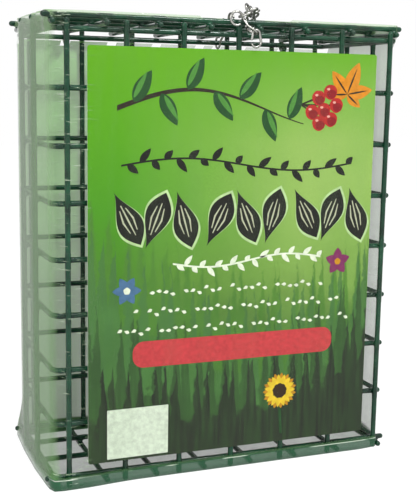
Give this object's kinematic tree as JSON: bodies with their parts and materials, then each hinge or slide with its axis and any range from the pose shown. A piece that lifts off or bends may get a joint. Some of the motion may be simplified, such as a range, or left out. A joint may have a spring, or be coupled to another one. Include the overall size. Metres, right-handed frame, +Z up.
{
  "type": "suet feeder",
  "caption": "Upright box-shaped wire cage for cakes of suet, with a hinged mesh lid, a hanging chain with a clip, a printed card on the front and a clear film sleeve.",
  "frame": {"origin": "centre of the bounding box's bottom, on the surface that the floor rods stand on", "axes": "+Z up along the cage's height, +X to the right seen from the front, +Y to the back; the card faces -Y"},
  "size_m": [0.1876, 0.0906, 0.2327],
  "materials": {
    "green_vinyl": "glossy dark green vinyl coat on steel wire",
    "zinc_wire": "bright zinc plated steel wire",
    "printed_card": null,
    "clear_film": "clear glossy shrink film"
  },
  "bodies": {
    "cage": {"hoop_1": "green_vinyl", "hoop_2": "green_vinyl", "hoop_3": "green_vinyl", "hoop_4": "green_vinyl", "hoop_5": "green_vinyl", "hoop_6": "green_vinyl", "hoop_7": "green_vinyl", "hoop_8": "green_vinyl", "hoop_9": "green_vinyl", "front_upright_1": "green_vinyl", "front_upright_2": "green_vinyl", "front_upright_3": "green_vinyl", "front_upright_4": "green_vinyl", "front_upright_5": "green_vinyl", "front_upright_6": "green_vinyl", "front_upright_7": "green_vinyl", "back_upright_1": "green_vinyl", "back_upright_2": "green_vinyl", "back_upright_3": "green_vinyl", "back_upright_4": "green_vinyl", "back_upright_5": "green_vinyl", "back_upright_6": "green_vinyl", "back_upright_7": "green_vinyl", "left_upright_1": "green_vinyl", "left_upright_2": "green_vinyl", "right_upright_1": "green_vinyl", "right_upright_2": "green_vinyl", "floor_rod_1": "green_vinyl", "floor_rod_2": "green_vinyl", "floor_rod_3": "green_vinyl", "floor_rod_4": "green_vinyl", "floor_rod_5": "green_vinyl", "floor_rod_6": "green_vinyl", "floor_rod_7": "green_vinyl", "floor_rod_8": "green_vinyl", "floor_cross_wire_1": "green_vinyl", "floor_cross_wire_2": "green_vinyl", "printed_card": "printed_card", "film_sleeve": "clear_film"},
    "lid": {"lid_rod_1": "green_vinyl", "lid_rod_2": "green_vinyl", "lid_rod_3": "green_vinyl", "lid_rod_4": "green_vinyl", "lid_rod_5": "green_vinyl", "lid_rod_6": "green_vinyl", "lid_rod_7": "green_vinyl", "lid_rod_8": "green_vinyl", "lid_cross_wire_1": "green_vinyl", "lid_cross_wire_2": "green_vinyl", "lid_cross_wire_3": "green_vinyl", "lid_cross_wire_4": "green_vinyl"},
    "link_1": {"chain_link_1": "zinc_wire"},
    "link_2": {"chain_link_2": "zinc_wire"},
    "link_3": {"chain_link_3": "zinc_wire"},
    "link_4": {"chain_link_4": "zinc_wire"},
    "link_5": {"chain_link_5": "zinc_wire"},
    "link_6": {"chain_link_6": "zinc_wire"},
    "link_7": {"chain_link_7": "zinc_wire"},
    "link_8": {"chain_link_8": "zinc_wire"},
    "clip": {"chain_clip": "zinc_wire"}
  },
  "joints": [
    {"name": "lid_hinge", "type": "hinge", "parent": "cage", "child": "lid", "pos_m": [0, 0.04047, 0.21617], "axis": [-1, 0, 0], "range_deg": [0, 105]},
    {"name": "link_1_lift", "type": "hinge", "parent": "lid", "child": "link_1", "pos_m": [0.023, 0.04047, 0.21637], "axis": [-1, 0, 0], "range_deg": [0, 15]},
    {"name": "link_2_lift", "type": "hinge", "parent": "link_1", "child": "link_2", "pos_m": [0.022, 0.02983, 0.22531], "axis": [-0.9781, 0.1593, -0.1336], "range_deg": [0, 25]},
    {"name": "link_3_lift", "type": "hinge", "parent": "link_2", "child": "link_3", "pos_m": [0.0205, 0.01614, 0.22745], "axis": [-0.9938, -0.0466, -0.1007], "range_deg": [0, 25]},
    {"name": "link_4_lift", "type": "hinge", "parent": "link_3", "child": "link_4", "pos_m": [0.02225, 0.00276, 0.22388], "axis": [-0.9704, -0.1966, -0.1403], "range_deg": [0, 25]},
    {"name": "link_5_lift", "type": "hinge", "parent": "link_4", "child": "link_5", "pos_m": [0.02113, -0.00953, 0.22916], "axis": [-0.863, 0.3519, -0.3625], "range_deg": [0, 25]},
    {"name": "link_6_lift", "type": "hinge", "parent": "link_5", "child": "link_6", "pos_m": [0.01585, -0.02241, 0.22785], "axis": [-0.822, 0.4476, -0.3521], "range_deg": [0, 25]},
    {"name": "link_7_lift", "type": "hinge", "parent": "link_6", "child": "link_7", "pos_m": [0.00838, -0.03419, 0.22796], "axis": [-0.7249, 0.5924, -0.3517], "range_deg": [0, 25]},
    {"name": "link_8_lift", "type": "hinge", "parent": "link_7", "child": "link_8", "pos_m": [-0.00084, -0.04149, 0.22349], "axis": [-0.0209, -0.9997, -0.0099], "range_deg": [0, 30]},
    {"name": "clip_swing", "type": "hinge", "parent": "link_8", "child": "clip", "pos_m": [0.00938, -0.04163, 0.21656], "axis": [-0.0209, -0.9997, -0.0099], "range_deg": [-30, 30]}
  ]
}
